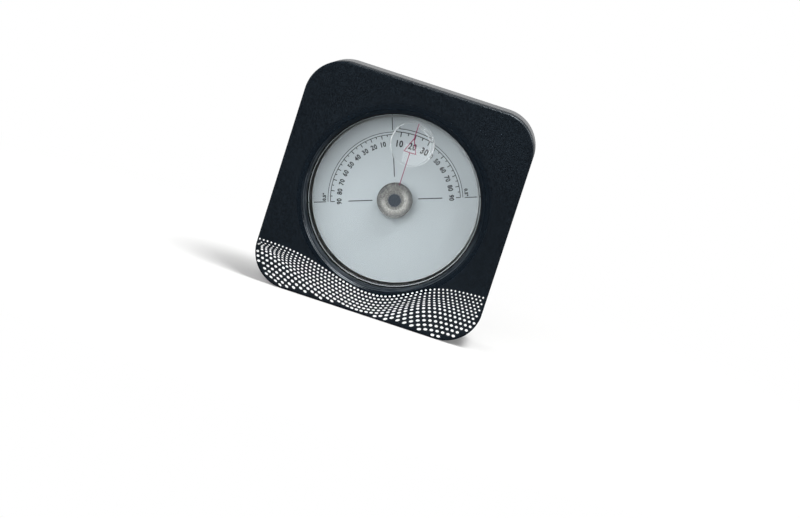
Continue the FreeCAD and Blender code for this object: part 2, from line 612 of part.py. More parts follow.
# Rear bearing: a slotted screw in the cup's boss that sets the axle's end play, the
# hard cup in its front end, and a hexagonal nut that locks it.
SCREW_FRONT = "(%s - boss_front - cup_gap)" % FLOOR_FRONT
REAR_CUP_BACK = "(%s + rear_cup_wall)" % SCREW_FRONT
SCREW_BACK = "(%s + bearing_tail)" % BOSS_BACK
bearing = new_body("rear_bearing_screw")
turn(bearing, "screw", [
    ("rear_cup_radius + cup_gap", SCREW_FRONT), ("bearing_screw", SCREW_FRONT),
    ("bearing_screw", SCREW_BACK), ("0", SCREW_BACK), ("0", REAR_CUP_BACK),
    ("rear_cup_radius + cup_gap", REAR_CUP_BACK)])
bearing_slot = sketch_at_depth(bearing, "slot", "(%s - slot_depth)" % SCREW_BACK)
outline(bearing_slot, [
    ("-bearing_screw - overrun", "-slot_width / 2"), ("bearing_screw + overrun", "-slot_width / 2"),
    ("bearing_screw + overrun", "slot_width / 2"), ("-bearing_screw - overrun", "slot_width / 2")])
cut(bearing, "slot_cut", bearing_slot, "(slot_depth + overrun)")

rear_cup = new_body("rear_pivot_cup")
turn(rear_cup, "cup", [
    ("cone_mouth", SCREW_FRONT), ("rear_cup_radius", SCREW_FRONT),
    ("rear_cup_radius", REAR_CUP_BACK), ("0", REAR_CUP_BACK),
    ("0", "%s + cone_depth" % SCREW_FRONT)])

nut = new_body("bearing_lock_nut")
nut_face = sketch_at_depth(nut, "face", BOSS_BACK)
NUT_HALF = "(nut_flats / 2)"
NUT_CORNER = "(nut_flats / 2 / cos(30 deg))"
outline(nut_face, [
    (NUT_CORNER, "0"), ("%s / 2" % NUT_CORNER, NUT_HALF), ("-%s / 2" % NUT_CORNER, NUT_HALF),
    ("-" + NUT_CORNER, "0"), ("-%s / 2" % NUT_CORNER, "-" + NUT_HALF),
    ("%s / 2" % NUT_CORNER, "-" + NUT_HALF)])
circle(nut_face, BOSS_BORE)
deepen(nut, "block", nut_face, "nut_wall")

# Card: a thin pale aluminium disc that carries the printed scale.
card = new_body("dial_card", turned_with_card=True)
HUB_HOLE = "(hub_spigot + hub_gap)"
turn(card, "disc", [
    (HUB_HOLE, CARD_FRONT), ("%s - card_bevel" % CARD_RADIUS, CARD_FRONT),
    (CARD_RADIUS, "%s + card_bevel" % CARD_FRONT), (CARD_RADIUS, CARD_BACK),
    (HUB_HOLE, CARD_BACK)])

# Hub: turned brass, with a spigot through the card, a flange behind it and a neck. The
# washer is clinched on the spigot and the pointed steel axle is pressed through the hub.
hub = new_body("dial_hub", turned_with_card=True)
AXLE_HOLE = "(axle_radius + hub_gap)"
HUB_FLANGE_BACK = "(%s + hub_flange_wall)" % CARD_BACK
turn(hub, "hub", [
    (AXLE_HOLE, "%s - hub_front" % CARD_FRONT), ("hub_spigot", "%s - hub_front" % CARD_FRONT),
    ("hub_spigot", CARD_BACK), ("hub_flange", CARD_BACK), ("hub_flange", HUB_FLANGE_BACK),
    ("hub_neck", HUB_FLANGE_BACK), ("hub_neck", "%s + hub_neck_length" % HUB_FLANGE_BACK),
    (AXLE_HOLE, "%s + hub_neck_length" % HUB_FLANGE_BACK)])
washer = new_body("hub_washer", turned_with_card=True)
turn(washer, "ring", [
    (HUB_HOLE, "%s - washer_wall" % CARD_FRONT), ("washer_radius", "%s - washer_wall" % CARD_FRONT),
    ("washer_radius", CARD_FRONT), (HUB_HOLE, CARD_FRONT)])
axle = new_body("dial_axle", turned_with_card=True)
AXLE_FRONT = "(%s - cone_depth + pivot_gap)" % FRONT_CUP_BACK
AXLE_BACK = "(%s + cone_depth - pivot_gap)" % SCREW_FRONT
turn(axle, "pin", [
    ("0", AXLE_FRONT), ("axle_radius", "%s + axle_point" % AXLE_FRONT),
    ("axle_radius", "%s - axle_point" % AXLE_BACK), ("0", AXLE_BACK)])

# Counterweight: a brass segment cemented behind the lower edge of the card.
weight = new_body("counterweight", turned_with_card=True)
WEIGHT_OUTER = "(%s - weight_edge)" % CARD_RADIUS
WEIGHT_INNER = "(%s - weight_width)" % WEIGHT_OUTER
segment = sketch_at_depth(weight, "segment", CARD_BACK)
DOWN = math.radians(270)
SPREAD = math.radians(value_of("weight_spread"))
centre, normal = FreeCAD.Vector(0, 0, 0), FreeCAD.Vector(0, 0, 1)
arcs = []
for size in (WEIGHT_INNER, WEIGHT_OUTER):
    ring = Part.Circle(centre, normal, value_of(size))
    arcs.append(Part.ArcOfCircle(ring, DOWN - SPREAD, DOWN + SPREAD))
    number = segment.addGeometry(arcs[-1])
    segment.addConstraint(Sketcher.Constraint("Coincident", number, 3, -1, 1))
    radius = segment.addConstraint(Sketcher.Constraint("Radius", number, value_of(size)))
    bind(segment, "Constraints[%d]" % radius, size)
inner_arc, outer_arc = arcs
segment.addGeometry(Part.LineSegment(inner_arc.StartPoint, outer_arc.StartPoint))
segment.addGeometry(Part.LineSegment(inner_arc.EndPoint, outer_arc.EndPoint))
for line, arc_point, side in ((2, 1, "-"), (3, 2, "")):
    segment.addConstraint(Sketcher.Constraint("Coincident", line, 1, 0, arc_point))
    segment.addConstraint(Sketcher.Constraint("Coincident", line, 2, 1, arc_point))
    segment.addConstraint(Sketcher.Constraint("PointOnObject", -1, 1, line))
    across = side + WEIGHT_INNER + " * sin(weight_spread * 1 deg)"
    place = Sketcher.Constraint("DistanceX", -1, 1, 0, arc_point, value_of(across))
    number = segment.addConstraint(place)
    bind(segment, "Constraints[%d]" % number, across)
deepen(weight, "block", segment, "weight_wall")

# Filling hole: a small slotted screw on a sealing ring, in the upper part of the cup.
filler = new_body("filler_screw")
FILLER_AXIS = ("0", FILLER_PLACE)
HEAD_FRONT = "(%s + filler_seal_height)" % FLOOR_BACK
HEAD_BACK = "(%s + filler_head_height)" % HEAD_FRONT
turn(filler, "screw", [
    ("0", "%s - filler_reach" % FLOOR_BACK), ("filler_shank", "%s - filler_reach" % FLOOR_BACK),
    ("filler_shank", HEAD_FRONT), ("filler_head", HEAD_FRONT), ("filler_head", HEAD_BACK),
    ("0", HEAD_BACK)], off_axis=FILLER_AXIS)
filler_slot = sketch_at_depth(filler, "slot", "(%s - slot_depth)" % HEAD_BACK)
outline(filler_slot, [
    ("-filler_head - overrun", "%s - slot_width / 2" % FILLER_PLACE),
    ("filler_head + overrun", "%s - slot_width / 2" % FILLER_PLACE),
    ("filler_head + overrun", "%s + slot_width / 2" % FILLER_PLACE),
    ("-filler_head - overrun", "%s + slot_width / 2" % FILLER_PLACE)])
cut(filler, "slot_cut", filler_slot, "(slot_depth + overrun)")
filler_ring = new_body("filler_seal")
turn(filler_ring, "ring", [
    ("filler_shank + filler_seal_gap", FLOOR_BACK), ("filler_seal_radius", FLOOR_BACK),
    ("filler_seal_radius", HEAD_FRONT), ("filler_shank + filler_seal_gap", HEAD_FRONT)],
    off_axis=FILLER_AXIS)

# Expansion membrane: a dished rubber disc over an opening in the lower part of the cup,
# which gives way as the liquid warms, and the moulded ring that holds its edge.
MEMBRANE_AXIS = ("0", "-" + PORT_PLACE)
MEMBRANE_BACK = "(%s + membrane_wall)" % FLOOR_BACK
membrane = new_body("expansion_diaphragm")
turn(membrane, "disc", [
    ("0", "%s + membrane_bulge" % FLOOR_BACK), ("membrane_flat", "%s + membrane_bulge" % FLOOR_BACK),
    ("membrane_slope", FLOOR_BACK), ("membrane_radius", FLOOR_BACK),
    ("membrane_radius", MEMBRANE_BACK), ("membrane_slope + membrane_wall / 3", MEMBRANE_BACK),
    ("membrane_flat + membrane_wall / 3", "%s + membrane_bulge" % MEMBRANE_BACK),
    ("0", "%s + membrane_bulge" % MEMBRANE_BACK)], off_axis=MEMBRANE_AXIS)
ring = new_body("diaphragm_ring")
RING_INSIDE = "(membrane_radius + ring_gap)"
turn(ring, "ring", [
    ("ring_bore", MEMBRANE_BACK), (RING_INSIDE, MEMBRANE_BACK), (RING_INSIDE, FLOOR_BACK),
    (RING_OUTSIDE, FLOOR_BACK), (RING_OUTSIDE, "%s + ring_cover" % MEMBRANE_BACK),
    ("ring_bore", "%s + ring_cover" % MEMBRANE_BACK)], off_axis=MEMBRANE_AXIS)

doc.recompute()
for thing in doc.Objects:
    if "Invalid" in thing.State or "Error" in thing.State:
        raise RuntimeError("%s is %s" % (thing.Name, thing.State))
pieces = [thing for thing in doc.Objects if thing.TypeId in ("PartDesign::Body", "Part::Torus")]
for piece in pieces:
    if piece.Shape.isNull() or not piece.Shape.isValid():
        raise RuntimeError(piece.Label + " has no valid shape")
for piece in pieces:
    piece.Shape.exportStep("parts/%s.step" % piece.Label)
    box = piece.Shape.BoundBox
    print("%-22s %d solids %9.1f mm3  x %6.2f %6.2f  y %6.2f %6.2f  z %6.2f %6.2f" % (
        piece.Label, len(piece.Shape.Solids), piece.Shape.Volume,
        box.XMin, box.XMax, box.YMin, box.YMax, box.ZMin, box.ZMax))
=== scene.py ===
import bpy
import math
from mathutils import Euler, Matrix, Vector


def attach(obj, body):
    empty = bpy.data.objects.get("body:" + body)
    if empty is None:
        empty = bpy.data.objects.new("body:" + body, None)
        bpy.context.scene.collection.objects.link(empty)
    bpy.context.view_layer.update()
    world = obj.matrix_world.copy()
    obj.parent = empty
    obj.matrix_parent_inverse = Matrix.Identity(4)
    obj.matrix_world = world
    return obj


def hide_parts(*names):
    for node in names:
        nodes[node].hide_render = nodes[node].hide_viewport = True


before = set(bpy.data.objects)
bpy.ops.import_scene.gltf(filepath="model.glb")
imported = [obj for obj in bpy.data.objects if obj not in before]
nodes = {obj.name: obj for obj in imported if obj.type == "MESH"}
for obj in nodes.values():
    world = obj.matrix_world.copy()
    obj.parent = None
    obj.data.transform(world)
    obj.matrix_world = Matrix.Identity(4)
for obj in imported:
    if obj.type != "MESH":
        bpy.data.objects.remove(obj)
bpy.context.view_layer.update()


# Housing: front cover and shell are injection moulded in black plastic with a fine
# eroded grain. The four screws behind draw them together along the parting line.
MM = 0.001
PER_METRE = 1000
FACE_Z = 37.5


class Value:
    """A number that varies over a surface, for use in sums like a plain number."""

    def __init__(self, finish, socket):
        self.finish, self.socket = finish, socket

    def __add__(self, other):
        return self.finish.sum("ADD", self, other)

    __radd__ = __add__

    def __sub__(self, other):
        return self.finish.sum("SUBTRACT", self, other)

    def __rsub__(self, other):
        return self.finish.sum("SUBTRACT", other, self)

    def __mul__(self, other):
        return self.finish.sum("MULTIPLY", self, other)

    __rmul__ = __mul__

    def __truediv__(self, other):
        return self.finish.sum("DIVIDE", self, other)

    def __pow__(self, other):
        return self.finish.sum("POWER", self, other)


class Finish:
    """The nodes of one material, or of the sky."""

    def __init__(self, name, kind=bpy.data.materials):
        self.owner = kind.new(name)
        self.owner.use_nodes = True
        self.tree = self.owner.node_tree
        self.tree.nodes.clear()

    def node(self, kind, settings=None, inputs=None, output=0):
        """Add a node; give its output, or several if output lists their names."""
        made = self.tree.nodes.new(kind)
        for name, setting in (settings or {}).items():
            setattr(made, name, setting)
        for name, given in (inputs or {}).items():
            if isinstance(given, Value):
                self.tree.links.new(given.socket, made.inputs[name])
            else:
                made.inputs[name].default_value = given
        if isinstance(output, list):
            return [Value(self, made.outputs[name]) for name in output]
        return Value(self, made.outputs[output]) if made.outputs else None

    def sum(self, operation, *terms):
        """A sum of two terms, each a Value or a plain number."""
        return self.node("ShaderNodeMath", {"operation": operation}, dict(enumerate(terms)))

    def place(self):
        """Where a point lies on the object, in metres."""
        return self.node("ShaderNodeTexCoord", output="Object")

    def noise(self, scale, detail=2, roughness=0.5, vector=None):
        """Cloudy variation; scale counts its patches per metre."""
        return self.node("ShaderNodeTexNoise", {}, {
            "Vector": vector or self.place(), "Scale": scale, "Detail": detail,
            "Roughness": roughness}, "Fac")

    def between(self, share, first, second):
        """A colour that goes from the first to the second with share."""
        return self.node("ShaderNodeMix", {"data_type": "RGBA"},
                         {0: share, 6: (*first, 1) if isinstance(first, tuple) else first,
                          7: (*second, 1) if isinstance(second, tuple) else second}, 2)

    def step(self, value, low, high, at_low=0.0, at_high=1.0):
        """A soft step of value, from at_low at low to at_high at high."""
        return self.node("ShaderNodeMapRange", {"interpolation_type": "SMOOTHSTEP"},
                         {"Value": value, "From Min": low, "From Max": high,
                          "To Min": at_low, "To Max": at_high})

    def within(self, value, rising, falling):
        """1 where value lies between two soft steps, 0 outside them."""
        return self.step(value, *rising) * self.step(value, *falling, 1.0, 0.0)

    def bump(self, height, depth):
        """A relief whose height 0 to 1 stands for that depth in metres."""
        return self.node("ShaderNodeBump", {}, {"Height": height, "Distance": depth,
                                                "Strength": 1.0}, "Normal")

    def from_middle(self, z=FACE_Z):
        """Place across and up, and distance, from a front-to-back axis at height z,
        all in millimetres."""
        across, up = self.node("ShaderNodeSeparateXYZ", {}, {0: self.place()}, ["X", "Z"])
        across, up = across * PER_METRE, up * PER_METRE - z
        return across, up, (across * across + up * up) ** 0.5

    def depth(self):
        """Place from front to back, in millimetres."""
        back = self.node("ShaderNodeSeparateXYZ", {}, {0: self.place()}, "Y")
        return back * PER_METRE

    def shader(self, **inputs):
        """A Principled shader; its inputs by name, with _ for a space."""
        named = {name.replace("_", " "): given for name, given in inputs.items()}
        for name, given in named.items():
            if isinstance(given, tuple):
                named[name] = (*given, 1)
        return self.node("ShaderNodeBsdfPrincipled", {}, named)

    def shade(self, **inputs):
        """Finish with one Principled shader."""
        return self.show(self.shader(**inputs))

    def show(self, shader):
        self.node("ShaderNodeOutputMaterial", {}, {"Surface": shader})
        return self.owner


def finish_nodes(material, *names):
    """Give carried-over pieces a finish."""
    for name in names:
        nodes[name].data.materials.clear()
        nodes[name].data.materials.append(material)


# Bands of the plastic that have a sheen of their own: distances from the middle of the
# window, then depths. Each has the place of its first and of its last soft step.
RIM_SLOPE = (27.7, 27.8), (28.72, 28.76)
RIM_EDGES = (28.74, 28.80), (29.34, 29.44)
ROUNDED_EDGE = (-11.98, -11.90), (-11.5, -11.3)
COVER_SIDE = (-11.5, -11.3), (-5.3, -5.1)
SHELL_SIDE = (-5.3, -5.1)
GRAIN_DEPTH = 0.00003

plastic = Finish("black_plastic")
grain = plastic.noise(7000, detail=2)
patches = plastic.step(plastic.noise(2200, detail=3, roughness=0.65), 0.34, 0.66)
drift = plastic.noise(35, detail=1)
plastic_colour = plastic.between(patches * 0.55 + drift * 0.45,
                                 (0.0001, 0.0008, 0.0025), (0.0048, 0.0104, 0.0174))
across, up, radius = plastic.from_middle()
rim_edges = plastic.within(radius, *RIM_EDGES)
rim_slope = plastic.within(radius, *RIM_SLOPE)
# Streaks run round the slope of the window's rim, low on the left: a painted reflection,
# lighter in colour and glossier there.
around = plastic.sum("ARCTAN2", up, across)
circling = plastic.noise(1.0, detail=3, roughness=0.7, vector=plastic.node(
    "ShaderNodeCombineXYZ", {}, {0: 2.5 * around, 1: 3.2 * radius}))
low_left = plastic.step(up + 0.3 * across, -6.0, 10.0, 1.0, 0.0)
reflection_streaks = rim_slope * plastic.step(circling, 0.42, 0.58) * low_left
depth = plastic.depth()
edge_round = plastic.within(depth, *ROUNDED_EDGE)
cover_side = plastic.within(depth, *COVER_SIDE)
shell_side = plastic.step(depth, *SHELL_SIDE)
sheen = (0.41 + 0.10 * patches + 0.05 * drift) * (1 - 0.55 * rim_edges)
sheen = sheen * (1 - 0.5 * edge_round - 0.3 * shell_side)
sheen = sheen + 0.25 * rim_slope - 0.28 * reflection_streaks + 0.32 * cover_side
# The lighter colour of the streaks on the rim's slope is a painted reflection.
black_plastic = plastic.shade(
    Base_Color=plastic.between(reflection_streaks, plastic_colour, (0.034, 0.042, 0.050)),
    Roughness=sheen, IOR=1.49, Specular_Tint=(0.84, 0.94, 1.0),
    Normal=plastic.bump(grain * 0.6 + patches * 0.4, GRAIN_DEPTH))
finish_nodes(black_plastic, "front_cover", "housing_shell")


# Dots: a band of white dots, screen printed on the lower part of the cover. They lie on
# a rolling sheet that is seen at a slant, so that its rows crowd together on the far
# side of each wave and its dots grow and spread towards the lower edge.
FACE_Y = -12 * MM
DOT_LIFT = 0.02 * MM
DOT_PITCH, ROW_GAP, DOT_ROWS = 1.28, 1.07, 15
FIRST_COLUMN, SMALLEST_DOT, OFF_THE_RIM, MOST_PUSHED = 15.75, 0.16, 0.34, 1.015
DISH_EDGE, DISH_BAND, DISH_DEPTH = 31.2, 1.9, 0.25
FLAT_HALF, FLAT_CORNER, EDGE_ROUND = 36.8, 11.3, 0.7


def select(*objects):
    """Select these objects alone; the last one is active."""
    bpy.ops.object.select_all(action="DESELECT")
    for thing in objects:
        thing.select_set(True)
        bpy.context.view_layer.objects.active = thing


def joined(name, things, material):
    """Join flat marks into one piece, with its place in its mesh."""
    select(*things)
    bpy.ops.object.transform_apply(location=True, rotation=True, scale=True)
    if len(things) > 1:
        bpy.ops.object.join()
    piece = bpy.context.view_layer.objects.active
    piece.name = piece.data.name = name
    piece.data.materials.clear()
    piece.data.materials.append(material)
    return piece


def copy_of(thing):
    """A copy with a mesh of its own."""
    twin = bpy.data.objects.new(thing.name, thing.data.copy())
    bpy.context.scene.collection.objects.link(twin)
    return twin


def lay_on_front(thing, x, z, y, turn=0.0, size=(1, 1)):
    """Stand a flat mark up to face the front, at a place in millimetres."""
    thing.matrix_world = (Matrix.Translation((x * MM, y, z * MM))
                          @ Matrix.Rotation(math.radians(90), 4, "X")
                          @ Matrix.Rotation(math.radians(turn), 4, "Z")
                          @ Matrix.Diagonal((size[0], size[1], 1, 1)))


def rise(value):
    """A soft step from 0 to 1 about value 0."""
    return 1 / (1 + math.exp(-value))


def upper_edge(x):
    """Height of the first row above the middle of the face, in millimetres."""
    trough = (2 - x) / 20 if x < 2 else ((x - 2) / 15) ** 1.2
    return -22.2 + 0.057 * x - 8.2 * math.exp(-trough ** 2)


def row_gap(x, row):
    """Distance down to the next row. It shrinks where the sheet turns away."""
    left = 0.95 * rise((-27 - x) / 4) * rise((row - 0.7) / 0.4) * rise((6.5 - row) / 0.5)
    right = 0.42 * math.exp(-((x - 16) / 15) ** 2 - ((row - 4) / 2.2) ** 2)
    nearer = rise((row - 7) / 0.7) - rise((row - 10) / 0.8) * rise((-22 - x) / 2)
    return ROW_GAP - left - right + 0.43 * nearer


def row_height(x, row):
    """Height of a row above the middle of the face, in millimetres."""
    return upper_edge(x) - sum(row_gap(x, above) for above in range(row))


def dot_pitch(x, row):
    """Distance across to the next dot. It grows from row to row, most on the right."""
    return DOT_PITCH + row * (0.036 + 0.034 * math.exp(-((x - 12) / 11) ** 2))


def past_flat(x, z):
    """How far a point lies past the flat of the cover, on the rounding of its edge."""
    side, top = (max(abs(at) - FLAT_HALF + FLAT_CORNER, 0) for at in (x, z))
    return math.hypot(side, top) - FLAT_CORNER


bpy.ops.mesh.primitive_circle_add(vertices=12, radius=0.5 * MM, fill_type="NGON")
dot = bpy.context.object
dots = []
for row in range(DOT_ROWS):
    start = FIRST_COLUMN + 0.046 * max(row - 5, 0) ** 2
    across, x = [], start
    while x < FLAT_HALF:
        across.append(x)
        x += dot_pitch(x, row)
    x = start - dot_pitch(start, row)
    while x > -FLAT_HALF:
        across.append(x)
        x -= dot_pitch(x, row)
    for x in across:
        z, pitch = row_height(x, row), dot_pitch(x, row)
        pushed = max(1, (DISH_EDGE - DISH_BAND + OFF_THE_RIM) / math.hypot(x, z))
        fall = row_height(x + pitch / 2, row) - row_height(x - pitch / 2, row)
        turn = math.atan2(fall, pitch)
        share = 0.40 + 0.22 * math.exp(-((x + 4) / 18) ** 2) + 0.019 * row
        width = share * math.hypot(fall, pitch)
        height = max(0.54 * row_gap(x, row) * math.cos(turn), SMALLEST_DOT)
        x, z = x * pushed, z * pushed
        outside = past_flat(x, z) + (width + height) / 4
        if pushed < MOST_PUSHED and outside < EDGE_ROUND / 3:
            mark = copy_of(dot)
            lay_on_front(mark, x, FACE_Z + z, FACE_Y - DOT_LIFT, math.degrees(turn),
                         (width, height))
            dots.append(mark)
bpy.data.objects.remove(dot)

white_ink = Finish("white_ink")
worn = white_ink.noise(2600, detail=3)
printed_dots = joined("printed_dots", dots, white_ink.shade(
    Base_Color=white_ink.between(worn, (0.82, 0.83, 0.84), (0.94, 0.95, 0.95)),
    Roughness=0.45 + 0.2 * worn))
for vertex in printed_dots.data.vertices:
    x, z = vertex.co.x / MM, vertex.co.z / MM - FACE_Z
    vertex.co.y += max(DISH_EDGE - math.hypot(x, z), 0) * DISH_DEPTH / DISH_BAND * MM
    vertex.co.y += (EDGE_ROUND - math.sqrt(EDGE_ROUND ** 2 - max(past_flat(x, z), 0) ** 2)) * MM
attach(printed_dots, "housing")


# Housing screws: four black pan-head screws in deep round recesses at the back. Their
# heads are domed, with a cross recess formed by a punch, and their threads are rolled.
SCREW_X, SCREW_Z = 28.5, (9, 66)
SCREW_TIP, SCREW_SEAT, HEAD_HEIGHT = -10.2, 6.0, 1.5
HEAD_RADIUS, SHANK_RADIUS, CORE_RADIUS, THREAD_PITCH = 2.4, 1.15, 0.85, 0.8
CROSS_WIDTH, CROSS_LENGTH, CROSS_DEPTH = 0.7, 2.7, 1.0
POINT_LENGTH, THREAD_END, PLAIN_NECK, HEAD_SIDE = 1.0, 1.2, 0.6, 0.5


def turned(name, profile, z=FACE_Z, steps=160):
    """A solid of revolution about a front-to-back axis at height z.

    The profile lists distances from that axis and depths, in millimetres."""
    bpy.ops.object.select_all(action="DESELECT")
    bpy.ops.mesh.primitive_plane_add(size=MM)
    thing = bpy.context.object
    thing.name = thing.data.name = name
    bpy.ops.object.mode_set(mode="EDIT")
    bpy.ops.mesh.merge(type="CENTER")
    (across, depth), *others = profile
    bpy.ops.transform.translate(value=(across * MM, depth * MM, z * MM))
    for next_across, next_depth in others:
        bpy.ops.mesh.extrude_region_move(TRANSFORM_OT_translate={
            "value": ((next_across - across) * MM, (next_depth - depth) * MM, 0)})
        across, depth = next_across, next_depth
    bpy.ops.mesh.select_all(action="SELECT")
    bpy.ops.mesh.spin(steps=steps, angle=math.tau, center=(0, 0, z * MM), axis=(0, 1, 0))
    bpy.ops.mesh.select_all(action="SELECT")
    bpy.ops.mesh.remove_doubles(threshold=0.002 * MM)
    bpy.ops.mesh.normals_make_consistent(inside=False)
    bpy.ops.object.mode_set(mode="OBJECT")
    return thing


def joined_by(operation, thing, other):
    """Join a solid to another, or cut the other out of it."""
    select(other, thing)
    step = thing.modifiers.new("step", "BOOLEAN")
    step.operation, step.solver, step.object = operation, "EXACT", other
    bpy.ops.object.modifier_apply(modifier="step")
    bpy.data.objects.remove(other)
    bpy.ops.object.mode_set(mode="EDIT")
    bpy.ops.mesh.select_all(action="SELECT")
    bpy.ops.mesh.remove_doubles(threshold=0.001 * MM)
    bpy.ops.object.mode_set(mode="OBJECT")


def punch_blade(turn):
    """One blade of the cross punch, narrower towards its end."""
    bpy.ops.object.select_all(action="DESELECT")
    bpy.ops.mesh.primitive_cube_add(size=MM)
    blade = bpy.context.object
    bpy.ops.object.mode_set(mode="EDIT")
    bpy.ops.transform.resize(value=(CROSS_LENGTH, 2 * CROSS_DEPTH, CROSS_WIDTH))
    bpy.ops.object.mode_set(mode="OBJECT")
    for vertex in blade.data.vertices:
        if vertex.co.y < 0:
            vertex.co.x *= 0.45
            vertex.co.z *= 0.7
    blade.data.transform(Matrix.Translation((0, (SCREW_SEAT + HEAD_HEIGHT) * MM, 0))
                         @ Matrix.Rotation(math.radians(turn), 4, "Y"))
    return blade


thread = []
depth = SCREW_TIP + POINT_LENGTH
while depth < SCREW_SEAT - THREAD_END:
    thread += [(SHANK_RADIUS, depth), (CORE_RADIUS, depth + THREAD_PITCH / 2)]
    depth += THREAD_PITCH
head = []
for angle in range(0, 90, 15):
    bend = math.radians(angle)
    head.append((HEAD_RADIUS * math.cos(bend) ** 0.7,
                 SCREW_SEAT + HEAD_SIDE + (HEAD_HEIGHT - HEAD_SIDE) * math.sin(bend)))
screw = turned("screw", [(0, SCREW_TIP)] + thread + [
    (SHANK_RADIUS, SCREW_SEAT - PLAIN_NECK), (SHANK_RADIUS, SCREW_SEAT),
    (HEAD_RADIUS, SCREW_SEAT)] + head + [(0, SCREW_SEAT + HEAD_HEIGHT)], z=0, steps=40)
for turn in (20, 110):
    joined_by("DIFFERENCE", screw, punch_blade(turn))
select(screw)
bpy.ops.object.shade_smooth_by_angle(angle=math.radians(30))
screws = []
for x in (-SCREW_X, SCREW_X):
    for z in SCREW_Z:
        placed = copy_of(screw)
        placed.matrix_world = (Matrix.Translation((x * MM, 0, z * MM))
                               @ Matrix.Rotation(math.radians(x * z), 4, "Y"))
        screws.append(placed)
bpy.data.objects.remove(screw)
steel = Finish("black_steel")
scuffs = steel.noise(2400, detail=4, roughness=0.7)
cross_screws = joined("cross_screws", screws, steel.shade(
    Base_Color=steel.between(scuffs, (0.05, 0.05, 0.055), (0.13, 0.13, 0.14)),
    Metallic=1.0, Roughness=0.28 + 0.25 * scuffs,
    Normal=steel.bump(scuffs, 0.00002)))
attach(cross_screws, "housing")
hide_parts("housing_screws")


# Foam rings: soft black foam, punched from sheet, in front of and behind the capsule.
foam = Finish("foam")
cells = foam.node("ShaderNodeTexVoronoi", {}, {"Vector": foam.place(), "Scale": 3500.0},
                  "Distance")
finish_nodes(foam.shade(
    Base_Color=foam.between(cells, (0.004, 0.004, 0.005), (0.03, 0.03, 0.032)),
    Roughness=0.9, Normal=foam.bump(cells, 0.00008)), "capsule_gasket", "seat_gasket")


# Capsule cup and the ring of its membrane: pale grey moulded plastic. Round the edge of the lid
# the cup's bore wall and flange are coloured black, painted shade for the dark gap there.
GAP_SHADE_INSIDE, GAP_SHADE_BACK = (27.20, 27.25), (-3.1, -2.9)
pale = Finish("pale_plastic")
haze = pale.noise(160, detail=3)
across, up, radius = pale.from_middle()
# The black on the cup in front, beyond the edge of the lid, is painted shade.
gap_shade = pale.step(radius, *GAP_SHADE_INSIDE) * pale.step(pale.depth(), *GAP_SHADE_BACK, 1.0, 0.0)
finish_nodes(pale.shade(
    Base_Color=pale.between(gap_shade, pale.between(haze, (0.50, 0.54, 0.56), (0.60, 0.64, 0.66)),
                            (0.006, 0.007, 0.009)),
    Roughness=0.34 + 0.1 * haze, Normal=pale.bump(pale.noise(5200), 0.000008)),
    "capsule_cup", "diaphragm_ring")


# Seals: black rubber for the O-ring under the lid, the filler's ring and the membrane.
rubber = Finish("rubber")
bloom = rubber.noise(900, detail=3)
finish_nodes(rubber.shade(
    Base_Color=rubber.between(bloom, (0.008, 0.008, 0.009), (0.028, 0.028, 0.03)),
    Roughness=0.55 + 0.2 * bloom, Normal=rubber.bump(bloom, 0.00002)),
    "lid_seal", "filler_seal", "expansion_diaphragm")


# Card: a thin aluminium disc under a pale satin lacquer, a little darker in the printed
# half ring outside the scale, with a painted highlight as a lighter ring at its edge.
CARD_TURN = 20
CARD_Y = -4.2 * MM
HALF_RING_INSIDE, HALF_RING_FOOT, LIT_EDGE_RING = (21.4, 21.6), (0.15, 0.35), (26.30, 26.40)
lacquer = Finish("card_lacquer")
across, up, radius = lacquer.from_middle()
lean = math.radians(CARD_TURN)
turned_up = up * math.cos(lean) - across * math.sin(lean)
half_ring = lacquer.step(radius, *HALF_RING_INSIDE) * lacquer.step(turned_up, *HALF_RING_FOOT)
flow = lacquer.noise(110, detail=3)
lacquered = lacquer.between(flow, (0.55, 0.60, 0.635), (0.59, 0.64, 0.675))
lacquered = lacquer.between(half_ring * 0.25, lacquered, (0.40, 0.45, 0.485))
# The lighter ring at the card's edge is a painted highlight.
card_lacquer = lacquer.shade(
    Base_Color=lacquer.between(lacquer.step(radius, *LIT_EDGE_RING), lacquered,
                               (0.80, 0.84, 0.86)),
    Roughness=0.42 + 0.12 * flow,
    Normal=lacquer.bump(lacquer.noise(3800, detail=2), 0.000005))
finish_nodes(card_lacquer, "dial_card")

# Scale: black print on the card. Two arcs run over the upper half, with a mark every
# five degrees and a number at every ten, and fine cross lines stand at the quarters.
INK_LIFT = 0.012 * MM
INK_Y = CARD_Y - INK_LIFT
SCALE_LINES = (20.60, 20.81), (21.40, 21.58)
TICK_WIDTH, TICK_TOP = 0.26, 20.65
LONGEST_TICK, LONG_TICK, SHORT_TICK = 1.3, 1.1, 0.6
OUTER_LINE, INNER_LINE = (24.1, 1.0, 4.0), (11.15, 1.15, 7.7)
NUMBER_HEIGHT, NUMBER_RADIUS = 1.66, 17.9
NOTE_HEIGHT, NOTE_RADIUS, NOTE_ANGLE = 1.15, 22.7, 86.0


def bar(width, length):
    """A thin printed bar about the origin, in millimetres."""
    bpy.ops.object.select_all(action="DESELECT")
    bpy.ops.mesh.primitive_plane_add(size=1 * MM)
    thing = bpy.context.object
    bpy.ops.object.mode_set(mode="EDIT")
    bpy.ops.transform.resize(value=(width, length, 1))
    bpy.ops.mesh.subdivide(number_cuts=1)
    bpy.ops.object.mode_set(mode="OBJECT")
    return thing


def on_card(thing, radius, angle, turn=0.0, size=(1, 1)):
    """Place a mark on the card: radius, and angle clockwise from its zero line."""
    seen = math.radians(angle - CARD_TURN)
    lay_on_front(thing, radius * math.sin(seen), FACE_Z + radius * math.cos(seen), INK_Y,
                 CARD_TURN - angle + turn, size)
    return thing


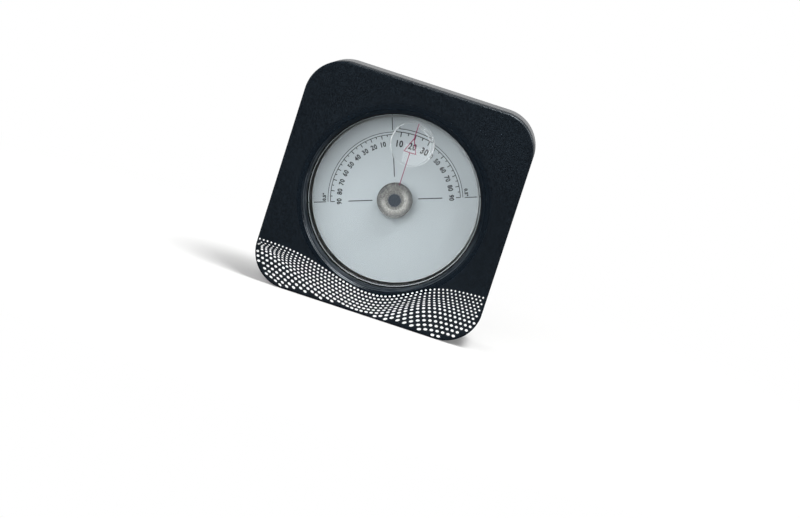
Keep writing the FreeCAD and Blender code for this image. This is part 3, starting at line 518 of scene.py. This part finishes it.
def arc(inner, outer, half_angle, steps):
    """A thin printed arc about the origin, symmetrical about its top."""
    bpy.ops.object.select_all(action="DESELECT")
    bpy.ops.mesh.primitive_plane_add(size=1 * MM)
    thing = bpy.context.object
    bpy.ops.object.mode_set(mode="EDIT")
    bpy.ops.transform.resize(value=(0, outer - inner, 1))
    bpy.ops.transform.translate(value=(0, (inner + outer) / 2 * MM, 0))
    bpy.ops.mesh.remove_doubles(threshold=0.001 * MM)
    bpy.ops.transform.rotate(value=math.radians(half_angle), orient_axis="Z",
                             center_override=(0, 0, 0))
    bpy.ops.mesh.spin(steps=steps, angle=math.radians(2 * half_angle), center=(0, 0, 0),
                      axis=(0, 0, -1))
    bpy.ops.mesh.select_all(action="SELECT")
    bpy.ops.mesh.remove_doubles(threshold=0.001 * MM)
    bpy.ops.object.mode_set(mode="OBJECT")
    return thing


def number(text, height, narrow=0.86, bold=0.036):
    """Printed figures about the origin, as a flat mesh of that height."""
    bpy.ops.object.select_all(action="DESELECT")
    bpy.ops.object.text_add()
    thing = bpy.context.object
    thing.data.body = text
    thing.data.resolution_u = 3
    thing.data.space_character = 1.1
    thing.data.offset = bold
    bpy.ops.object.convert(target="MESH")
    thing = bpy.context.object
    corners = [vertex.co for vertex in thing.data.vertices]
    low, high = (Vector([pick(corner[i] for corner in corners) for i in range(3)])
                 for pick in (min, max))
    middle, tall = (low + high) / 2, high.y - low.y
    for vertex in thing.data.vertices:
        vertex.co = (vertex.co - middle) * (height * MM / tall)
        vertex.co.x *= narrow
    return thing


scale_marks = [on_card(arc(*line, 90, 180), 0, 0) for line in SCALE_LINES]
tick = bar(TICK_WIDTH, 1.0)
for angle in range(-90, 91, 5):
    long = LONGEST_TICK if abs(angle) == 90 else LONG_TICK if angle % 10 == 0 else SHORT_TICK
    scale_marks.append(on_card(copy_of(tick), TICK_TOP - long / 2, angle, size=(1, long)))
for angle in (-90, 0, 90):
    for radius, width, length in (OUTER_LINE, INNER_LINE):
        scale_marks.append(on_card(copy_of(tick), radius, angle, size=(width, length)))
bpy.data.objects.remove(tick)
for tens in range(10, 91, 10):
    figures = number(str(tens), NUMBER_HEIGHT)
    for side in (-1, 1):
        scale_marks.append(on_card(copy_of(figures), NUMBER_RADIUS, side * tens))
    bpy.data.objects.remove(figures)
for side in (-1, 1):
    note = number("0.5°", NOTE_HEIGHT, narrow=1.05, bold=0.06)
    scale_marks.append(on_card(note, NOTE_RADIUS, side * NOTE_ANGLE))

black_ink = Finish("black_ink")
fade = black_ink.noise(2200, detail=3)
printed_scale = joined("printed_scale", scale_marks, black_ink.shade(
    Base_Color=black_ink.between(fade, (0.004, 0.005, 0.008), (0.022, 0.025, 0.032)),
    Roughness=0.5 + 0.15 * fade))
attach(printed_scale, "dial")


# Hub, counterweight, lock nut and filler screw: turned and sawn brass, left bright.
brass = Finish("brass")
lines = brass.noise(1500, detail=4, roughness=0.7)
finish_nodes(brass.shade(
    Base_Color=brass.between(lines, (0.50, 0.36, 0.16), (0.72, 0.54, 0.27)),
    Metallic=1.0, Roughness=0.25 + 0.2 * lines, Normal=brass.bump(lines, 0.00001)),
    "dial_hub", "counterweight", "bearing_lock_nut", "filler_screw")
polished = Finish("axle_steel")
rubs = polished.noise(2500, detail=3)
finish_nodes(polished.shade(
    Base_Color=polished.between(rubs, (0.50, 0.51, 0.53), (0.66, 0.67, 0.69)),
    Metallic=1.0, Roughness=0.15 + 0.15 * rubs), "dial_axle", "hub_washer")


# Bearings: a cloudy grey bush cemented behind the lid, with a painted highlight as a lighter
# crescent on the lower right of its ring, and hard dark steel cups that the points of the axle
# turn in.
cloudy = Finish("bush_plastic")
across, up, radius = cloudy.from_middle()
speck = cloudy.noise(1500, detail=4, roughness=0.75)
around = cloudy.sum("ARCTAN2", up, across)
streak = cloudy.noise(1.0, detail=3, roughness=0.7, vector=cloudy.node(
    "ShaderNodeCombineXYZ", {}, {0: 14 * around, 1: 0.9 * radius}))
mottle = 0.5 * speck + 0.5 * streak
# The lighter crescent on the lower right of the bush is a painted highlight.
highlight_crescent = (cloudy.step(0.6 * across - 0.8 * up + 2.0 * mottle, -1.8, 1.4)
              * cloudy.step(radius + 0.8 * mottle, 3.1, 3.7, 0.1, 1.0))
bush_colour = cloudy.between(highlight_crescent, (0.165, 0.163, 0.158), (0.66, 0.65, 0.625))
bush_colour = cloudy.between(cloudy.step(radius + 2.0 * mottle, 4.8, 6.0), bush_colour,
                             (0.132, 0.137, 0.144))
bush_colour = cloudy.between(cloudy.step(radius - 1.0 * mottle, 1.5, 2.1), (0.075, 0.09, 0.11),
                             bush_colour)
pits = cloudy.step(cloudy.noise(2600, detail=3, roughness=0.7), 0.42, 0.60)
bush_colour = cloudy.between(0.45 * pits, bush_colour, (0.05, 0.05, 0.052))
finish_nodes(cloudy.shade(
    Base_Color=cloudy.between(cloudy.step(mottle, 0.42, 0.72), bush_colour, (0.41, 0.40, 0.38)),
    Roughness=0.45 + 0.2 * speck, Normal=cloudy.bump(mottle, 0.00006)), "front_bearing_bush")
hard = Finish("dark_steel")
polish = hard.noise(2300, detail=2)
finish_nodes(hard.shade(
    Base_Color=hard.between(polish, (0.035, 0.045, 0.06), (0.08, 0.095, 0.12)),
    Metallic=0.6, Roughness=0.3 + 0.15 * polish),
    "front_pivot_cup", "rear_pivot_cup", "rear_bearing_screw")


# Lid: one clear acrylic moulding, a window with a flange behind it and a domed
# magnifier over the top of the scale. It is polished in the mould.
LID_FRONT, LID_BACK = -9.4, -7.41
LID_EDGE, EDGE_BEVEL = 27.3, 0.2
FLANGE_EDGE, FLANGE_FRONT, FLANGE_BACK = 30.59, -8.39, -6.41
LENS_Z, LENS_EDGE, LENS_TOP, LENS_FOOT = 56.3, 6.8, -11.75, -9.6
LENS_SPAN, LENS_RINGS, LENS_ROOT = 6.5, 18, -8.8
LENS_FILLET = [(6.62, -9.70), (6.72, -9.61), (6.78, -9.53), (6.86, -9.47), (6.98, -9.43),
               (7.14, -9.41), (7.3, -9.402)]
FILLET_RISING, FILLET_FALLING = (6.66, 6.80), (6.90, 7.04)
HAZE_RISING, HAZE_FALLING = (5.3, 5.8), (7.15, 7.30)
INNER_ARC_RISING, INNER_ARC_FALLING = (5.52, 5.62), (5.70, 5.80)

lid = turned("lid", [
    (0, LID_FRONT), (LID_EDGE - EDGE_BEVEL, LID_FRONT), (LID_EDGE, LID_FRONT + EDGE_BEVEL),
    (LID_EDGE, FLANGE_FRONT), (FLANGE_EDGE, FLANGE_FRONT), (FLANGE_EDGE, FLANGE_BACK),
    (LID_EDGE, FLANGE_BACK), (LID_EDGE, LID_BACK), (0, LID_BACK)])
lens_rise = LENS_FOOT - LENS_TOP
dome_radius = (LENS_EDGE ** 2 + lens_rise ** 2) / (2 * lens_rise)
half_dome = math.asin(LENS_SPAN / dome_radius)
cap = []
for ring in range(LENS_RINGS + 1):
    bend = half_dome * ring / LENS_RINGS
    cap.append((dome_radius * math.sin(bend), LENS_TOP + dome_radius * (1 - math.cos(bend))))
dome = turned("dome", cap + LENS_FILLET + [(LENS_FILLET[-1][0], LENS_ROOT), (0, LENS_ROOT)],
              z=LENS_Z, steps=128)
joined_by("UNION", lid, dome)
select(lid)
bpy.ops.object.shade_smooth_by_angle(angle=math.radians(28))
# The magnifier is a little hazy at its steep upper right edge. A whitish frost on the fillet
# round its foot, strongest on the left and right, and a thin whitish arc inside it on the upper
# right are painted highlights.
acrylic = Finish("clear_plastic")
across, up, from_lens = acrylic.from_middle(z=LENS_Z)
haze = (acrylic.within(from_lens, HAZE_RISING, HAZE_FALLING)
        * acrylic.step(0.5 * across + 0.86 * up, 3.6, 5.0))
clear = acrylic.shader(
    Base_Color=(0.975, 0.988, 0.985), Roughness=0.012 + 0.16 * haze, IOR=1.49,
    Transmission_Weight=1.0, Normal=acrylic.bump(acrylic.noise(60, detail=1), 0.000004))
# The whitish frost on the foot and the inner arc are painted highlights.
foot = acrylic.within(from_lens, FILLET_RISING, FILLET_FALLING)
sideways = (across * across) / (LENS_EDGE * LENS_EDGE)
inner_arc_highlight = (acrylic.within(from_lens, INNER_ARC_RISING, INNER_ARC_FALLING)
        * acrylic.step(0.8 * across + 0.6 * up, 3.0, 4.6))
frost_highlight = acrylic.shader(Base_Color=(0.92, 0.94, 0.95), Roughness=0.35)
edged = acrylic.node("ShaderNodeMixShader", {}, {
    0: foot * (0.06 + sideways * sideways * (0.34 + 0.03 * up)) + 0.45 * inner_arc_highlight,
    1: clear, 2: frost_highlight})
# Shadows take the lid for a thin clear sheet, so that light reaches the card.
let_through = acrylic.node("ShaderNodeBsdfTransparent", {}, {"Color": (0.93, 0.95, 0.95, 1)})
lid.data.materials.append(acrylic.show(acrylic.node("ShaderNodeMixShader", {}, {
    0: acrylic.node("ShaderNodeLightPath", output="Is Shadow Ray"), 1: edged, 2: let_through})))

# The lid's side and flange are coloured black, painted shade for the dark gap round the edge
# of the lid; no light strays in there round the card.
lid_edge_shade = Finish("lid_edge_shade")
brushed = lid_edge_shade.noise(1500, detail=3)
lid.data.materials.append(lid_edge_shade.shade(
    Base_Color=lid_edge_shade.between(brushed, (0.006, 0.007, 0.009), (0.018, 0.020, 0.024)),
    Roughness=0.4 + 0.2 * brushed))
for face in lid.data.polygons:
    if math.hypot(face.center.x / MM, face.center.z / MM - FACE_Z) > LID_EDGE - 0.05:
        face.material_index = 1
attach(lid, "housing")
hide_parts("capsule_lid")

# Index: a fine red line on the back of the lid with a hollow triangle on it, whose tip
# points at the reading under the magnifier.
INDEX_LIFT = 0.022
INDEX_Y = (LID_BACK + INDEX_LIFT) * MM
TIP, BASE, LINE_TOP, LINE_FOOT = 20.4, 16.3, 24.9, 5.2
STROKE_WIDTH, HALF_BASE, OVERLAP = 0.25, 1.7, 0.1


def on_lid(thing, x, z, turn=0.0, size=(1, 1)):
    lay_on_front(thing, x, FACE_Z + z, INDEX_Y, turn, size)
    return thing


stroke = bar(STROKE_WIDTH, 1.0)
side_turn = math.degrees(math.atan(HALF_BASE / (TIP - BASE)))
side_long = math.hypot(HALF_BASE, TIP - BASE) + OVERLAP
index_marks = [
    on_lid(copy_of(stroke), 0, (LINE_TOP + TIP) / 2, size=(1, LINE_TOP - TIP)),
    on_lid(copy_of(stroke), 0, (BASE + LINE_FOOT) / 2, size=(1, BASE - LINE_FOOT)),
    on_lid(copy_of(stroke), -HALF_BASE / 2, (TIP + BASE) / 2, -side_turn, (1, side_long)),
    on_lid(copy_of(stroke), HALF_BASE / 2, (TIP + BASE) / 2, side_turn, (1, side_long)),
    on_lid(copy_of(stroke), 0, BASE, 90, (1, 2 * HALF_BASE + OVERLAP))]
bpy.data.objects.remove(stroke)
red_ink = Finish("red_ink")
thin = red_ink.noise(2400, detail=2)
printed_index = joined("printed_index", index_marks, red_ink.shade(
    Base_Color=red_ink.between(thin, (0.25, 0.022, 0.085), (0.35, 0.045, 0.13)), Roughness=0.5))
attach(printed_index, "housing")


# Studio: a plain pale floor that turns to white away from the object, white light from
# behind, soft lights above and low on the left, and a camera rolled as in the photograph.
bpy.ops.object.select_all(action="DESELECT")
bpy.ops.mesh.primitive_plane_add(size=12, location=(0, 0, 0))
floor = bpy.context.object
floor.name = "floor"
paper = Finish("paper")
camera_sees, glossy = paper.node("ShaderNodeLightPath",
                                 output=["Is Camera Ray", "Is Glossy Ray"])
away = paper.node("ShaderNodeVectorMath", {"operation": "LENGTH"}, {0: paper.place()}, "Value")
matt = paper.node("ShaderNodeBsdfDiffuse", {}, {"Color": (0.88, 0.88, 0.875, 1)})
dim = paper.node("ShaderNodeBsdfDiffuse", {}, {"Color": (0.10, 0.10, 0.10, 1)})
white = paper.node("ShaderNodeEmission", {}, {"Color": (1, 1, 1, 1), "Strength": 1.0})
lit = paper.node("ShaderNodeMixShader", {}, {0: glossy, 1: matt, 2: dim})
floor.data.materials.append(paper.show(paper.node("ShaderNodeMixShader", {}, {
    0: camera_sees * paper.step(away, 0.06, 0.20, 0.15, 1.0), 1: lit, 2: white})))

sky = Finish("studio", bpy.data.worlds)
bpy.context.scene.world = sky.owner
direction = sky.node("ShaderNodeTexCoord", output="Generated")
ahead, height = sky.node("ShaderNodeSeparateXYZ", {}, {0: direction}, ["Y", "Z"])
camera_sees = sky.node("ShaderNodeLightPath", output="Is Camera Ray")
horizon = sky.step(height, 0.25, 0.75, 1.0, 0.4)
strength = sky.sum("MAXIMUM", sky.step(ahead, -0.6, 0.1, 0.07, 1.0) * horizon, camera_sees)
sky.node("ShaderNodeOutputWorld", {}, {"Surface": sky.node(
    "ShaderNodeBackground", {}, {"Color": (1, 1, 1, 1), "Strength": strength})})


def softbox(name, place, size, power, aim=(0, 0, FACE_Z * MM)):
    """A square soft light at a place in metres, turned towards the object."""
    lamp = bpy.data.lights.new(name, "AREA")
    lamp.size, lamp.energy = size, power
    thing = bpy.data.objects.new(name, lamp)
    bpy.context.scene.collection.objects.link(thing)
    thing.location = place
    thing.rotation_euler = (Vector(aim) - Vector(place)).to_track_quat("-Z", "Y").to_euler()
    return thing


softbox("key_above", (0.22, -0.20, 0.84), 0.34, 6.2).visible_transmission = False
softbox("fill_front", (-0.48, -0.86, 0.12), 1.4, 17.5).visible_glossy = False
softbox("side_right", (0.52, -0.09, 0.48), 0.26, 1.8).visible_diffuse = False


camera_data = bpy.data.cameras.new("camera")
camera = bpy.data.objects.new("camera", camera_data)
bpy.context.scene.collection.objects.link(camera)
camera_data.sensor_width = 36
camera_data.lens = 107.6
camera_data.clip_start, camera_data.clip_end = 0.01, 20
camera.location = (0.03739, -0.75937, 0.11968)
camera.rotation_euler = Euler([math.radians(angle) for angle in (82.094, -17.727, 4.711)])
bpy.context.scene.camera = camera
bpy.context.scene.view_settings.view_transform = "Standard"
